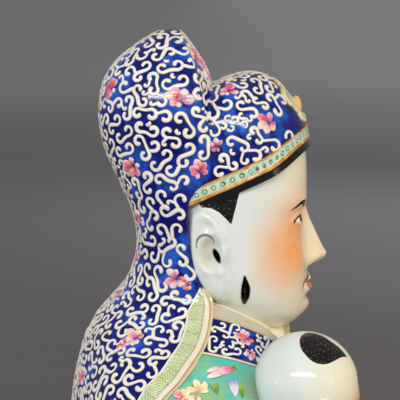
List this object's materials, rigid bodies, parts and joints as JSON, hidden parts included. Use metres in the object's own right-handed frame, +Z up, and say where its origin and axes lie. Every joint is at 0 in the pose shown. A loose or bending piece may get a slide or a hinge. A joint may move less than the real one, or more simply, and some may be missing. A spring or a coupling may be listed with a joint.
{
  "type": "porcelain fu xing figure",
  "caption": "Glazed and enamelled porcelain bust of the fortune star god in a tall lobed hat and mantle, holding a small child at the breast, with a flat underside.",
  "frame": {"origin": "centre of the flat underside", "axes": "+Z up, the face looks along -Y, +X towards the figure's left shoulder"},
  "size_m": [0.182, 0.1423, 0.2298],
  "materials": {
    "glazed_porcelain": "glossy clear glaze over white porcelain, enamelled in cobalt blue, turquoise, yellow-green and pink"
  },
  "bodies": {
    "root": {"fu_xing_bust": "glazed_porcelain"}
  },
  "joints": []
}
